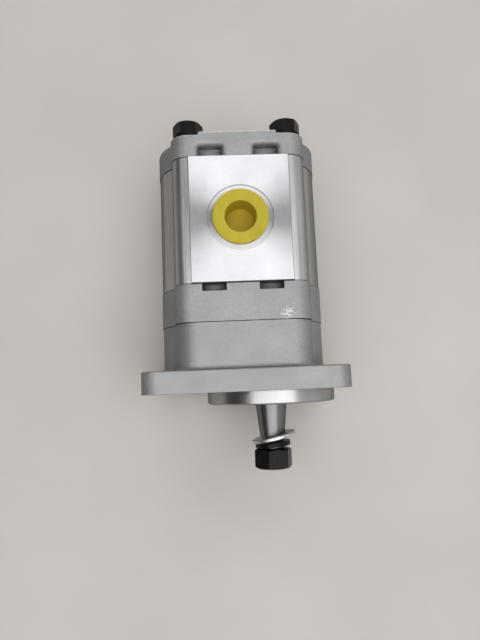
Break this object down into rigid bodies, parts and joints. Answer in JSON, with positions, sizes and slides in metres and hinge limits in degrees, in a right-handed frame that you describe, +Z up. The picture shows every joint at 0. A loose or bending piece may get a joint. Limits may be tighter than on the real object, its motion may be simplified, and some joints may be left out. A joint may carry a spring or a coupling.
{
  "type": "hydraulic gear pump",
  "caption": "External gear pump: extruded body between cast covers, rectangular flange with round pilot, outboard bearing, keyed taper shaft with nut and washers, and push-in port plugs.",
  "frame": {"origin": "centre of the footprint on the surface that the pump lies on, inlet port up", "axes": "+Y along the shaft from the nut towards the rear cover, +Z up through the inlet port, +X towards the shaft's side of the flange"},
  "size_m": [0.12, 0.2106, 0.09],
  "materials": {
    "cast_aluminium": "matte sand cast, faint scuffs",
    "extruded_aluminium": "satin extrusion with bright milled port faces",
    "ground_steel": "ground and turned",
    "black_oxide_steel": "black oxide, satin",
    "zinc_plated_steel": "zinc plated",
    "bronze": "machined bronze",
    "nitrile_rubber": "moulded rubber",
    "yellow_plastic": "moulded polyethylene"
  },
  "bodies": {
    "housing": {"mounting_flange": "cast_aluminium", "front_cover": "cast_aluminium", "rear_cover": "cast_aluminium", "pump_body": "extruded_aluminium", "front_bearing_block": "extruded_aluminium", "rear_bearing_block": "extruded_aluminium", "bearing_outer_race": "ground_steel", "seal_circlip": "ground_steel", "bearing_circlip": "ground_steel", "flange_dowel_upper": "ground_steel", "flange_dowel_lower": "ground_steel", "front_dowel_upper": "ground_steel", "front_dowel_lower": "ground_steel", "rear_dowel_upper": "ground_steel", "rear_dowel_lower": "ground_steel", "tie_bolt_1": "black_oxide_steel", "tie_bolt_2": "black_oxide_steel", "tie_bolt_3": "black_oxide_steel", "tie_bolt_4": "black_oxide_steel", "tie_bolt_washer_1": "black_oxide_steel", "tie_bolt_washer_2": "black_oxide_steel", "tie_bolt_washer_3": "black_oxide_steel", "tie_bolt_washer_4": "black_oxide_steel", "front_drive_bush": "bronze", "front_driven_bush": "bronze", "rear_drive_bush": "bronze", "rear_driven_bush": "bronze", "front_body_seal": "nitrile_rubber", "rear_body_seal": "nitrile_rubber", "front_axial_seal": "nitrile_rubber", "rear_axial_seal": "nitrile_rubber", "flange_seal": "nitrile_rubber", "shaft_seal": "nitrile_rubber", "inner_shaft_seal": "nitrile_rubber"},
    "drive_shaft": {"input_shaft": "ground_steel", "drive_coupling": "ground_steel", "drive_gear": "ground_steel", "bearing_inner_race": "ground_steel", "woodruff_key": "ground_steel", "shaft_nut": "black_oxide_steel", "lock_washer": "black_oxide_steel", "flat_washer": "zinc_plated_steel"},
    "driven_gear": {"driven_gear": "ground_steel"},
    "bearing_cage": {"bearing_cage": "bronze", "bearing_ball_1": "ground_steel", "bearing_ball_2": "ground_steel", "bearing_ball_3": "ground_steel", "bearing_ball_4": "ground_steel", "bearing_ball_5": "ground_steel", "bearing_ball_6": "ground_steel", "bearing_ball_7": "ground_steel", "bearing_ball_8": "ground_steel", "bearing_ball_9": "ground_steel"},
    "inlet_plug": {"inlet_plug": "yellow_plastic"},
    "outlet_plug": {"outlet_plug": "yellow_plastic"}
  },
  "joints": [
    {"name": "shaft_spin", "type": "hinge", "parent": "housing", "child": "drive_shaft", "pos_m": [0.01625, 0, 0.045], "axis": [0, 1, 0], "continuous": true},
    {"name": "driven_spin", "type": "hinge", "parent": "housing", "child": "driven_gear", "pos_m": [-0.01625, 0, 0.045], "axis": [0, 1, 0], "continuous": true},
    {"name": "bearing_cage_spin", "type": "hinge", "parent": "housing", "child": "bearing_cage", "pos_m": [0.01625, 0, 0.045], "axis": [0, 1, 0], "continuous": true},
    {"name": "inlet_plug_pull", "type": "slide", "parent": "housing", "child": "inlet_plug", "axis": [0, 0, 1], "range_m": [0, 0.03]},
    {"name": "outlet_plug_pull", "type": "slide", "parent": "housing", "child": "outlet_plug", "axis": [0, 0, -1], "range_m": [0, 0.03]}
  ],
  "couplings": [
    {"joint": "driven_spin", "follows": "shaft_spin", "ratio": -1},
    {"joint": "bearing_cage_spin", "follows": "shaft_spin", "ratio": 0.4097}
  ]
}
